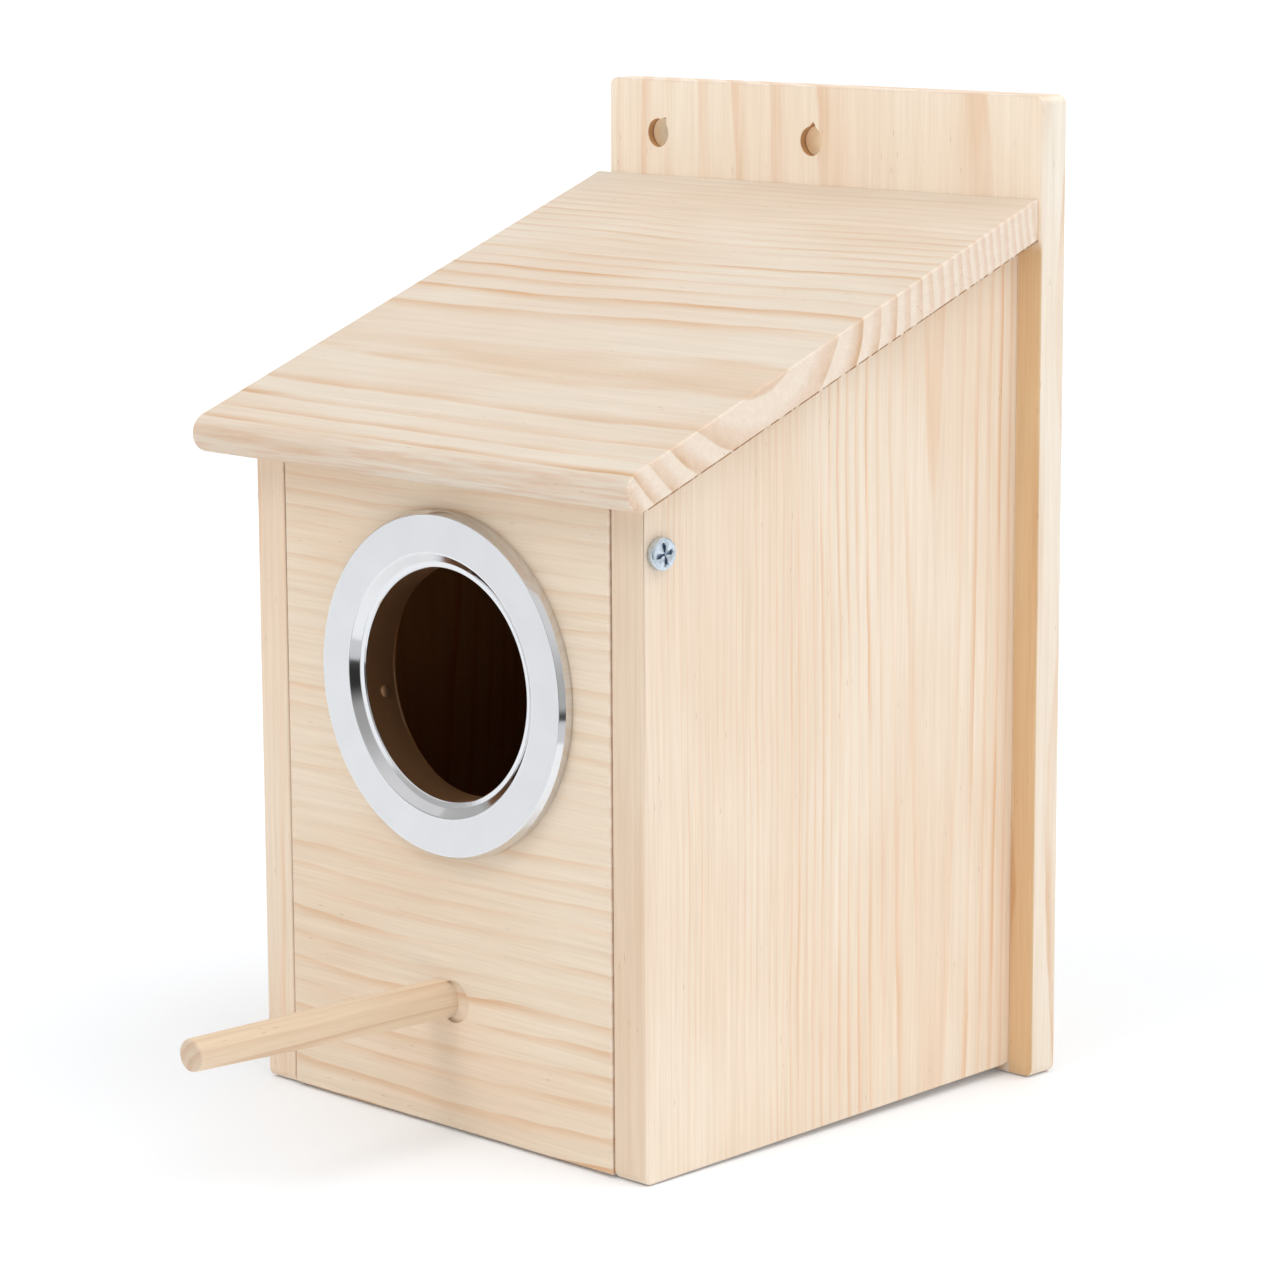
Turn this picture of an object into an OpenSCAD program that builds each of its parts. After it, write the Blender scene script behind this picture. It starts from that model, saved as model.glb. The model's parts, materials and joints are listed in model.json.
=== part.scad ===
// Wall-hung wooden birdhouse with a hinged front, a metal-rimmed entrance hole and a perch.
// +X is the right-hand side seen from the front, -Y is the front, +Z is up.
// The modules work from the front face of the back board (y = 0) and the plane it stands on (z = 0);
// placed() then moves every piece so that the origin is under the middle of the whole object.

/* [Back board] */
// Width of the back board
back_w = 168.6; // [160:0.2:176]
// Height of the back board, the full height of the birdhouse
back_h = 280; // [270:1:300]
// Thickness of the back board
back_t = 10.4; // [9:0.1:14]
// Radius of the back board's four corners
back_corner_r = 2.5; // [1:0.5:6]

/* [Hanging holes] */
// Radius of a hanging hole
hang_hole_r = 4.3; // [3:0.1:5]
// Distance between the two hanging holes
hang_spacing = 62; // [40:1:80]
// Sideways place of the point midway between the hanging holes
hang_x = -33; // [-40:1:0]
// Height of the hanging holes
hang_z = 264; // [260:0.5:270]
// Width of the pointed nick at the top of each hanging hole
hang_nick_w = 3.2; // [2:0.2:4]
// Distance from a hole's centre to the point of its nick
hang_nick_reach = 5.8; // [5.4:0.1:6]
// Radius of the wider pocket behind each hanging hole, for a screw head
hang_pocket_r = 6; // [6:0.1:7]
// Thickness of wood left in front of the pocket
hang_lip_t = 2.6; // [2:0.1:5]

/* [Box] */
// Outer width of the box, over the two side panels
box_w = 152; // [140:1:156]
// Depth of the side panels
box_d = 149.6; // [140:0.2:160]
// Thickness of a side panel
side_t = 11.4; // [10:0.1:13]
// How much higher a side panel's lower edge is at the back board than at the front
side_rise = 2.75; // [0:0.25:4]
// Thickness of the floor panel
floor_t = 11; // [9:0.5:13]
// Height of the floor panel's underside
floor_z = 3.6; // [3.2:0.2:6]

/* [Roof] */
// Width of the roof board
roof_w = 172.2; // [165:0.2:180]
// Sideways offset of the roof board from the middle of the box
roof_shift = -3; // [-4:0.5:0]
// Thickness of the roof board
roof_t = 11.2; // [10:0.1:13]
// Slope of the roof
roof_angle = 20.7; // [18:0.1:24]
// Height of the roof's top face where it meets the back board
roof_top = 251.7; // [248:0.1:255]
// Distance from the back board to the tip of the roof's rounded front edge
roof_reach = 161.9; // [158:0.1:168]

/* [Front door] */
// Thickness of the front door
door_t = 11; // [10:0.1:12]
// Gap between the door and each side panel
door_side_gap = 0.6; // [0.4:0.1:1]
// Gap between the door's bevelled top and the roof
door_top_gap = 0.8; // [0.7:0.1:1.5]
// Height of the door's lower edge
door_bottom = 0.5; // [0.4:0.1:1.5]
// Distance from the door's front face back to the pivot axis
pivot_depth = 6.2; // [5.8:0.1:6.5]
// Height of the pivot axis
pivot_z = 168.6; // [167:0.1:169]

/* [Entrance ring] */
// Sideways place of the entrance hole's centre
ring_x = 2.8; // [-4:0.1:4]
// Height of the entrance hole's centre
ring_z = 125.4; // [120:0.1:127]
// Radius of the clear entrance hole
hole_r = 32; // [26:0.5:34]
// Outer radius of the ring's flange
flange_r = 47.7; // [44:0.1:50]
// How far the ring's face stands proud of the door
flange_t = 4.3; // [3:0.1:5]
// Inner radius of the ring's flat face
face_inner_r = 36.2; // [35:0.1:38]
// Wall thickness of the collar that lines the hole
collar_wall = 2; // [1.5:0.1:3]
// How deep the collar goes into the door
collar_depth = 8.6; // [6:0.1:10]

/* [Perch] */
// Radius of the perch where it leaves the door
perch_r = 5.7; // [4:0.1:7]
// Radius of the perch at its free end
perch_tip_r = 4.45; // [3:0.05:6]
// Length of the perch in front of the door
perch_l = 89; // [60:1:110]
// Upward tilt of the perch
perch_tilt = 1.4; // [0:0.1:3]
// Sideways place of the perch
perch_x = -2.1; // [-5:0.1:5]
// Height of the perch where it leaves the door
perch_z = 36.8; // [30:0.1:50]

/* [Pivot screws] */
// Radius of a pivot screw's shank
screw_r = 2; // [1.5:0.1:2.5]
// Radius of a pivot screw's head
screw_head_r = 4.4; // [3.5:0.1:5]
// Height of a pivot screw's head
screw_head_h = 2.3; // [1.8:0.1:3]
// How deep a pivot screw goes into the door's edge
screw_bite = 14; // [10:1:20]

/* [Hidden] */
$fn = 64;

pine = [0.93, 0.82, 0.66];
pine_dark = [0.88, 0.75, 0.58];
dowel_wood = [0.86, 0.76, 0.61];
bare_metal = [0.88, 0.89, 0.91];
zinc = [0.72, 0.76, 0.80];

hang_nick_turns = [35, 9]; // each nick's turn from straight up towards the right, in degrees
cut = 1;                  // how far a cutting shape runs past the face it cuts
side_in = box_w / 2 - side_t;
door_w = 2 * (side_in - door_side_gap);
door_gap_to_floor = 0.3;
floor_d = box_d - door_t - door_gap_to_floor;
roof_v = roof_t / cos(roof_angle);    // roof thickness measured straight up

pivot_y = -box_d + pivot_depth;
screw_running_gap = 0.05; // radial clearance of a shank in a side panel
screw_head_gap = 0.2;     // between a screw head and the side panel
screw_tip_l = 4;          // length of the pointed end of the shank

perch_socket = 8;         // depth of the perch's hole in the door
pin_r = 0.9;
pin_head_r = 1.7;
pin_head_h = 0.7;
pin_l = 12;
pin_angle = 12;           // how far below the ring's centre the pins are, in degrees
pin_depth = 4.8;          // behind the door's front face
brad_r = 0.8;
brad_head_r = 1.4;
brad_head_h = 1;
brad_l = 35;

perch_tip_y = -box_d - perch_l * cos(perch_tilt) - perch_tip_r * sin(perch_tilt);
mid_x = (roof_shift - roof_w / 2 + back_w / 2) / 2;
mid_y = (perch_tip_y + back_t) / 2;

// Height of the roof's underside at a distance y from the back board
function under_roof(y) = roof_top - roof_v + y * tan(roof_angle);

// Moves a piece from the back board's frame to the object's own origin
module placed() {
    translate([-mid_x, -mid_y, 0]) children();
}

// Extrudes an outline drawn in (y, z) from x = 0 towards +X
module along_x(length) {
    rotate([90, 0, 90]) linear_extrude(length) children();
}

// A rectangle from (0, 0) with round corners, made of true arcs
module rounded_plate(width, height, r) {
    translate([r, 0]) square([width - 2 * r, height]);
    translate([0, r]) square([width, height - 2 * r]);
    for (x = [r, width - r], y = [r, height - r]) translate([x, y]) circle(r);
}

// One hanging hole, cut from the front (z = 0) towards +Z: a nicked round hole that opens into a wider pocket
module hanging_hole(nick_turn) {
    nick_base = hang_hole_r * 0.85;
    translate([0, 0, -cut]) {
        cylinder(h = back_t + 2 * cut, r = hang_hole_r);
        rotate([0, 0, nick_turn]) linear_extrude(back_t + 2 * cut)
            polygon([[-hang_nick_w / 2, nick_base], [hang_nick_w / 2, nick_base], [0, hang_nick_reach]]);
    }
    translate([0, 0, hang_lip_t]) cylinder(h = back_t, r = hang_pocket_r);
}

// A brad driven towards -Y, its head flush with y = 0
module brad() {
    rotate([90, 0, 0]) {
        cylinder(h = brad_head_h, r = brad_head_r);
        cylinder(h = brad_l - 2, r = brad_r);
        translate([0, 0, brad_l - 2]) cylinder(h = 2, r1 = brad_r, r2 = 0.2);
    }
}

// Drawn lying on its front face and then stood up, so that z runs backwards through the board
module back_board() {
    color(pine) placed() mirror([0, 1, 0]) rotate([90, 0, 0]) difference() {
        translate([-back_w / 2, 0, 0]) linear_extrude(back_t) rounded_plate(back_w, back_h, back_corner_r);
        for (side = [0, 1]) translate([hang_x + (side - 0.5) * hang_spacing, hang_z, 0])
            hanging_hole(-hang_nick_turns[side]);
    }
}

// A side panel whose outer face is at x = 0, with the clearance hole for its pivot screw
module side_panel() {
    difference() {
        along_x(side_t) polygon([[-box_d, 0], [0, side_rise], [0, under_roof(0)], [-box_d, under_roof(-box_d)]]);
        translate([-cut, pivot_y, pivot_z]) rotate([0, 90, 0])
            cylinder(h = side_t + 2 * cut, r = screw_r + screw_running_gap);
    }
}

module left_side() {
    color(pine_dark) placed() translate([-box_w / 2, 0, 0]) side_panel();
}

module right_side() {
    color(pine_dark) placed() translate([box_w / 2 - side_t, 0, 0]) side_panel();
}

module floor_panel() {
    color(pine) placed() translate([-side_in, -floor_d, floor_z]) cube([2 * side_in, floor_d, floor_t]);
}

// Sloping board, cut upright at the back board, with a full round along its front edge
module roof() {
    nose_r = roof_t / 2;
    nose_y = -roof_reach + nose_r;
    nose_z = roof_top + nose_y * tan(roof_angle) - nose_r / cos(roof_angle);
    top_edge = [nose_y - nose_r * sin(roof_angle), nose_z + nose_r * cos(roof_angle)];
    low_edge = [nose_y + nose_r * sin(roof_angle), nose_z - nose_r * cos(roof_angle)];
    color(pine) placed() translate([roof_shift - roof_w / 2, 0, 0]) along_x(roof_w) {
        polygon([[0, roof_top], top_edge, low_edge, [0, roof_top - roof_v]]);
        translate([nose_y, nose_z]) circle(nose_r);
    }
}

module side_brads() {
    color(zinc) placed() for (side = [-1, 1], z = [40, 120, 200])
        translate([side * (box_w - side_t) / 2, back_t, z]) brad();
}

// Driven along the slope of the roof, with their heads dressed flush with the back face
module roof_brads() {
    proud = 1;
    head_z = roof_top - roof_v / 2 + back_t * tan(roof_angle);
    color(zinc) placed() intersection() {
        for (x = [-60, 0, 60]) translate([x + roof_shift, back_t, head_z])
            rotate([roof_angle, 0, 0]) translate([0, proud, 0]) brad();
        translate([-back_w / 2, -brad_l, 0]) cube([back_w, brad_l + back_t, back_h]);
    }
}

module floor_brads() {
    color(zinc) placed() for (x = [-40, 40]) translate([x, back_t, floor_z + floor_t / 2]) brad();
}

// The hole that the ring's collar sits in, the perch's socket and the pivot screws' holes are cut out
module front_door() {
    door_back = -box_d + door_t;
    color(pine) placed() difference() {
        translate([-door_w / 2, 0, 0]) along_x(door_w) polygon([
            [-box_d, door_bottom],
            [door_back, door_bottom],
            [door_back, under_roof(door_back) - door_top_gap],
            [-box_d, under_roof(-box_d) - door_top_gap]
        ]);
        translate([ring_x, -box_d - cut, ring_z]) rotate([-90, 0, 0])
            cylinder(h = door_t + 2 * cut, r = hole_r + collar_wall);
        perch_place() translate([0, 0, -perch_socket]) cylinder(h = perch_socket + cut, r = perch_r);
        for (side = [-1, 1]) pivot_place(side) screw_shank();
    }
}

// Flanged ring turned from one piece: flat face, bevelled rim, chamfered mouth, narrow lip and a collar
module entrance_ring() {
    rim_bevel = [1, 1.7];     // across the face, down the rim
    lip_w = 1.7;
    lip_drop = 2;             // from the face to the lip's outer edge
    lip_slope = 0.25;
    lip_ease = 0.3;
    color(bare_metal) placed() translate([ring_x, -box_d, ring_z]) rotate([90, 0, 0]) rotate_extrude() polygon([
        [hole_r, -collar_depth],
        [hole_r + collar_wall, -collar_depth],
        [hole_r + collar_wall, 0],
        [flange_r, 0],
        [flange_r, flange_t - rim_bevel[1]],
        [flange_r - rim_bevel[0], flange_t],
        [face_inner_r, flange_t],
        [hole_r + lip_w, flange_t - lip_drop],
        [hole_r + lip_ease, flange_t - lip_drop - lip_slope],
        [hole_r, flange_t - lip_drop - lip_slope - lip_ease]
    ]);
}

// Two round-headed pins driven outwards through the collar into the door
module ring_pins() {
    color(zinc) placed() translate([ring_x, -box_d + pin_depth, ring_z])
        for (direction = [-pin_angle, 180 + pin_angle]) rotate([0, -direction, 0]) rotate([0, 90, 0])
            translate([0, 0, hole_r - pin_head_h]) {
                cylinder(h = pin_head_h, r = pin_head_r);
                cylinder(h = pin_l, r = pin_r);
            }
}

// The perch's own axis: +Z runs out of the door's front face
module perch_place() {
    translate([perch_x, -box_d, perch_z]) rotate([90 - perch_tilt, 0, 0]) children();
}

module perch() {
    color(dowel_wood) placed() perch_place() {
        translate([0, 0, -perch_socket]) cylinder(h = perch_socket, r = perch_r);
        cylinder(h = perch_l, r1 = perch_r, r2 = perch_tip_r);
    }
}

// A pivot screw's own axis: +Z runs outwards, and z = 0 is the side panel's outer face
module pivot_place(side) {
    translate([side * box_w / 2, pivot_y, pivot_z]) rotate([0, side * 90, 0]) children();
}

module screw_shank() {
    depth = side_t + door_side_gap + screw_bite;
    translate([0, 0, -depth + screw_tip_l]) cylinder(h = depth - screw_tip_l + screw_head_gap, r = screw_r);
    translate([0, 0, -depth]) cylinder(h = screw_tip_l, r1 = 0.3, r2 = screw_r);
}

module pivot_screws() {
    recess_w = 0.9;
    recess_l = 4.6;
    recess_d = 1.3;
    dome_r = 8;
    color(zinc) placed() for (side = [-1, 1]) pivot_place(side) {
        screw_shank();
        translate([0, 0, screw_head_gap]) difference() {
            intersection() {
                cylinder(h = screw_head_h, r = screw_head_r);
                translate([0, 0, screw_head_h - dome_r]) sphere(dome_r);
            }
            for (turn = [45, 135]) rotate([0, 0, turn])
                translate([-recess_l / 2, -recess_w / 2, screw_head_h - recess_d])
                    cube([recess_l, recess_w, recess_d + cut]);
        }
    }
}

back_board();
left_side();
right_side();
floor_panel();
roof();
side_brads();
roof_brads();
floor_brads();
front_door();
entrance_ring();
ring_pins();
perch();
pivot_screws();
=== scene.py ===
"""Looks of the birdhouse: its pieces, their procedural materials, the floor, the light and the camera."""
import json
import math

import bmesh
import bpy
from mathutils import Matrix, Vector, noise


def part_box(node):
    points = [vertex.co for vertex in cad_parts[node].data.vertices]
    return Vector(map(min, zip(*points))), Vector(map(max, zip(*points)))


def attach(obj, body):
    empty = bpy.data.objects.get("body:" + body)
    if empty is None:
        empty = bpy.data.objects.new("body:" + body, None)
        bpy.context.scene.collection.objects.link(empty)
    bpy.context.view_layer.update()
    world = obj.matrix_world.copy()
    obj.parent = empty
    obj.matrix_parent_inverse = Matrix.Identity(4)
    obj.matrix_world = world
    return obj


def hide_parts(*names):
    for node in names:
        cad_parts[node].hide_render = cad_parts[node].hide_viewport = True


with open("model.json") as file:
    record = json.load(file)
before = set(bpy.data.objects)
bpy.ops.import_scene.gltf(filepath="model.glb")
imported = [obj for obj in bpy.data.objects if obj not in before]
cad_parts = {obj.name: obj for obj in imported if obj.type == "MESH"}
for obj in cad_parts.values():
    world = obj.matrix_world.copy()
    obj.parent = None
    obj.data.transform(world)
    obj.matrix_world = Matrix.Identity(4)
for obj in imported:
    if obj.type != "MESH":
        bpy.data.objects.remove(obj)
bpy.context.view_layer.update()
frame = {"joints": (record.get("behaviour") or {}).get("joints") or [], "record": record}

MM = 0.001

# Sizes in metres and angles in radians that the frame's boxes don't give
ROOF_ANGLE = math.radians(20.7)
ROOF_T = 11.2 * MM
ROOF_CUT = ROOF_T / math.cos(ROOF_ANGLE)
SIDE_RISE = 2.75 * MM
BACK_CORNER_R = 2.5 * MM
HANG_R = 4.3 * MM
HANG_NICK_W = 3.2 * MM
HANG_NICK_REACH = 5.8 * MM
HANG_NICK_TURNS = (math.radians(35), math.radians(9))
HANG_LIP_T = 2.6 * MM
HANG_POCKET_R = 5.1 * MM
RING_SEAT_R = 34.0 * MM
HOLE_R = 32.0 * MM
FACE_INNER_R = 36.2 * MM
RIM_BEVEL = (1.0 * MM, 1.7 * MM)
LIP_W = 1.7 * MM
LIP_DROP = 2.0 * MM
COLLAR_DEPTH = 8.6 * MM
PERCH_R = 5.7 * MM
PERCH_TIP_R = 4.45 * MM
PERCH_L = 89.0 * MM
PERCH_TILT = math.radians(1.4)
PERCH_Z = 36.8 * MM
SCREW_R = 2.0 * MM
SCREW_HEAD_R = 4.4 * MM
SCREW_HEAD_H = 2.3 * MM
SCREW_GAP = 0.2 * MM
SCREW_BITE = 14 * MM
SCREW_TURN = math.radians(10)
PIN_R = 0.9 * MM
PIN_HEAD_R = 1.7 * MM
PIN_ANGLE = math.radians(12)
PIN_DEPTH = 4.8 * MM
PIN_STAND = 0.7 * MM
BRAD_R = 0.8 * MM
BRAD_HEAD_R = 1.4 * MM
BRAD_L = 34.5 * MM
BRAD_SET = 0.3 * MM
BRAD_SET_SLANTED = 2.6
BRAD_PIT = 1.6
SIDE_BRAD_HEIGHTS = (40 * MM, 120 * MM, 200 * MM)
ROOF_BRAD_SHIFTS = (-60 * MM, 0, 60 * MM)
FLOOR_BRAD_SHIFTS = (-40 * MM, 40 * MM)
JOINT_GAP = 0.45 * MM
SCREW_CLEARANCE = 0.05 * MM
PERCH_SOCKET_GAP = 0.2 * MM
BRAD_PIT_GAP = 0.15 * MM
CUT_PAST = 2 * MM

# How the boards are worked: their eased edges, corner radii and wear. The radii go round from the low front
# corner, and the roof's are its rear ones, from the lower.
BOARD_EASE = 0.5 * MM
FLOOR_EASE = 0.3 * MM
SIDE_CORNERS_R = (2.6 * MM, 0.3 * MM, 0.3 * MM, 0.4 * MM)
DOOR_CORNERS_R = (0.9 * MM, 0.6 * MM, 0.4 * MM, 0.5 * MM)
ROOF_REAR_CORNERS_R = (0.3 * MM, 0.5 * MM)
WEAR = 0.12 * MM
WEAR_PER_METRE = 130
MESH_STEP = 6 * MM
ARC_STEP = 0.5 * MM
SHARP_ANGLE = math.radians(40)

# Where each piece's grain and wear start in the noise
BACK_SEED, FLOOR_SEED, ROOF_SEED, DOOR_SEED, PERCH_SEED = 3, 7, 13, 21, 31

joint = frame["joints"][0]
record = frame["record"]
pivot = Vector(joint["pos_m"])
board_low, board_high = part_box("back_board")
door_low, door_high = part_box("front_door")
roof_low, roof_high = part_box("roof")
left_low, left_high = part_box("left_side")
right_low, right_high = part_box("right_side")
floor_low, floor_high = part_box("floor_panel")
ring_low, ring_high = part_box("entrance_ring")
perch_low, perch_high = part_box("perch")
ring_x = (ring_low.x + ring_high.x) / 2
ring_z = (ring_low.z + ring_high.z) / 2
flange_r = (ring_high.x - ring_low.x) / 2
box_x = (left_low.x + right_high.x) / 2


# ---------------------------------------------------------------------------------- mesh helpers
def mm(value):
    """Metres in millimetres, in which the materials work."""
    return value / MM


def in_yz(a, b, h):
    """Outlines drawn in (y, z) and extruded along X."""
    return Vector((h, a, b))


def in_xz(a, b, h):
    """Outlines drawn in (x, z) and extruded along Y."""
    return Vector((a, h, b))


def rounded_outline(corners, radii):
    """A convex outline with filleted corners, as rows of (x, y, normal x, normal y, share of corner)."""
    count = len(corners)
    points = []
    for i, (corner, radius) in enumerate(zip(corners, radii)):
        here = Vector(corner)
        before = (Vector(corners[i - 1]) - here).normalized()
        after = (Vector(corners[(i + 1) % count]) - here).normalized()
        half = before.angle(after) / 2
        centre = here + (before + after).normalized() * (radius / math.sin(half))
        start = here + before * (radius / math.tan(half)) - centre
        end = here + after * (radius / math.tan(half)) - centre
        sweep = -start.angle_signed(end)
        steps = max(4, round(abs(sweep) * radius / ARC_STEP))
        for k in range(steps + 1):
            turn = sweep * k / steps
            c, s = math.cos(turn), math.sin(turn)
            arm = Vector((start.x * c - start.y * s, start.x * s + start.y * c))
            spot, out = centre + arm, arm.normalized()
            points.append((spot.x, spot.y, out.x, out.y, math.sin(math.pi * k / steps)))
    spread = []
    for i, point in enumerate(points):
        spread.append(point)
        gap = Vector(points[(i + 1) % len(points)][:2]) - Vector(point[:2])
        pieces = int(gap.length / MESH_STEP)
        for k in range(1, pieces):
            share = k / pieces
            spread.append((point[0] + gap.x * share, point[1] + gap.y * share, point[2], point[3], 0.0))
    return spread


def shade(piece):
    """Smooth shading that keeps flat faces flat and edges past the sharp angle sharp."""
    piece.data.shade_smooth()
    piece.data.set_sharp_from_angle(angle=SHARP_ANGLE)
    weighted = piece.modifiers.new("flat faces", "WEIGHTED_NORMAL")
    weighted.keep_sharp = True
    weighted.weight = 90


def make_piece(name, vertices, faces):
    """A shaded mesh object with all its faces turned outwards."""
    mesh = bpy.data.meshes.new(name)
    mesh.from_pydata([tuple(v) for v in vertices], [], faces)
    solid = bmesh.new()
    solid.from_mesh(mesh)
    bmesh.ops.recalc_face_normals(solid, faces=solid.faces)
    solid.to_mesh(mesh)
    solid.free()
    piece = bpy.data.objects.new(name, mesh)
    bpy.context.scene.collection.objects.link(piece)
    shade(piece)
    return piece


def slab(name, outline, place, low, high, ease, seed):
    """An outline extruded from low to high, its ends eased by ease(x, y) and its edges worn unevenly."""
    arc_steps = 4
    arc = [math.pi / 2 * (1 - k / arc_steps) for k in range(arc_steps + 1)]
    middle = max(2, int((high - low) / MESH_STEP))
    levels = [(-1, turn) for turn in arc]
    levels += [(0, k / middle) for k in range(1, middle)]
    levels += [(1, turn) for turn in reversed(arc)]
    vertices, faces = [], []
    for end, given in levels:
        for x, y, nx, ny, corner in outline:
            e = ease(x, y)
            inset = 0.0 if end == 0 else e * (1 - math.cos(given))
            near = 0.0 if end == 0 else math.sin(2 * given) * min(1.0, e / MM)
            if end < 0:
                h = low + e * (1 - math.sin(given))
            elif end > 0:
                h = high - e * (1 - math.sin(given))
            else:
                h = low + e + (high - low - 2 * e) * given
            spot = Vector((x, y, h)) * WEAR_PER_METRE + Vector((seed, 0, 0))
            coarse, fine = noise.noise(spot), noise.noise(spot * 5)
            rub = max(0.0, 0.8 + coarse + 0.7 * fine)
            shift = inset + WEAR * max(near, corner) * rub * 0.7
            vertices.append(place(x - nx * shift, y - ny * shift, h))
    ring = len(outline)
    for level in range(len(levels) - 1):
        a, b = level * ring, (level + 1) * ring
        for i in range(ring):
            j = (i + 1) % ring
            faces.append((a + i, a + j, b + j, b + i))
    last = (len(levels) - 1) * ring
    faces.append(tuple(range(ring)))
    faces.append(tuple(range(last, last + ring)))
    return make_piece(name, vertices, faces)


def lathe(name, profile, matrix, segments=96, closed=False):
    """Turns a profile of (radius, height) about the matrix's Z."""
    vertices, rows = [], []
    for radius, height in profile:
        around = 1 if radius < 1e-7 else segments
        rows.append([len(vertices) + k % around for k in range(segments)])
        for k in range(around):
            turn = 2 * math.pi * k / segments
            vertices.append(matrix @ Vector((radius * math.cos(turn), radius * math.sin(turn), height)))
    pairs = list(zip(rows, rows[1:]))
    if closed:
        pairs.append((rows[-1], rows[0]))
    faces = []
    for low, high in pairs:
        for k in range(segments):
            j = (k + 1) % segments
            corners = list(dict.fromkeys((low[k], low[j], high[j], high[k])))
            if len(corners) > 2:
                faces.append(tuple(corners))
    return make_piece(name, vertices, faces)


def fillet(profile, radii, steps=5):
    """A (radius, height) profile with the given corners rounded."""
    rounded = []
    for i, (corner, radius) in enumerate(zip(profile, radii)):
        if not radius:
            rounded.append(corner)
            continue
        here = Vector(corner)
        before = (Vector(profile[i - 1]) - here).normalized()
        after = (Vector(profile[(i + 1) % len(profile)]) - here).normalized()
        reach = radius / math.tan(before.angle(after) / 2)
        for k in range(steps + 1):
            t = k / steps
            spot = here + before * reach * (1 - t) ** 2 + after * reach * t ** 2
            rounded.append((spot.x, spot.y))
    return rounded


def facing(spot, direction):
    """A matrix at spot whose Z runs along direction."""
    turn = Vector(direction).to_track_quat("Z", "Y").to_matrix().to_4x4()
    return Matrix.Translation(Vector(spot)) @ turn


def rod(radius, length, matrix, segments=96):
    """A closed cylinder along the matrix's Z, used for cutting."""
    return lathe("cutter", [(0, 0), (radius, 0), (radius, length), (0, length)], matrix, segments)


def cut(piece, cutters):
    """Takes the cutters out of the piece and throws them away."""
    piece.modifiers.clear()
    for cutter in cutters:
        tool = piece.modifiers.new("cut", "BOOLEAN")
        tool.operation, tool.solver, tool.object = "DIFFERENCE", "EXACT", cutter
    evaluated = piece.evaluated_get(bpy.context.evaluated_depsgraph_get())
    mesh = bpy.data.meshes.new_from_object(evaluated)
    piece.modifiers.clear()
    old, piece.data = piece.data, mesh
    bpy.data.meshes.remove(old)
    for cutter in cutters:
        bpy.data.objects.remove(cutter)
    shade(piece)
    return piece


def join(name, pieces):
    """Makes one piece of several."""
    solid = bmesh.new()
    for piece in pieces:
        solid.from_mesh(piece.data)
    mesh = bpy.data.meshes.new(name)
    solid.to_mesh(mesh)
    solid.free()
    for piece in pieces:
        bpy.data.objects.remove(piece)
    joined = bpy.data.objects.new(name, mesh)
    bpy.context.scene.collection.objects.link(joined)
    shade(joined)
    return joined


# ---------------------------------------------------------------------------------- material helpers
def linear(red, green, blue):
    """The linear colour of an sRGB one given in 0 to 255."""
    return tuple(((c / 255 + 0.055) / 1.055) ** 2.4 for c in (red, green, blue))


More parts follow.
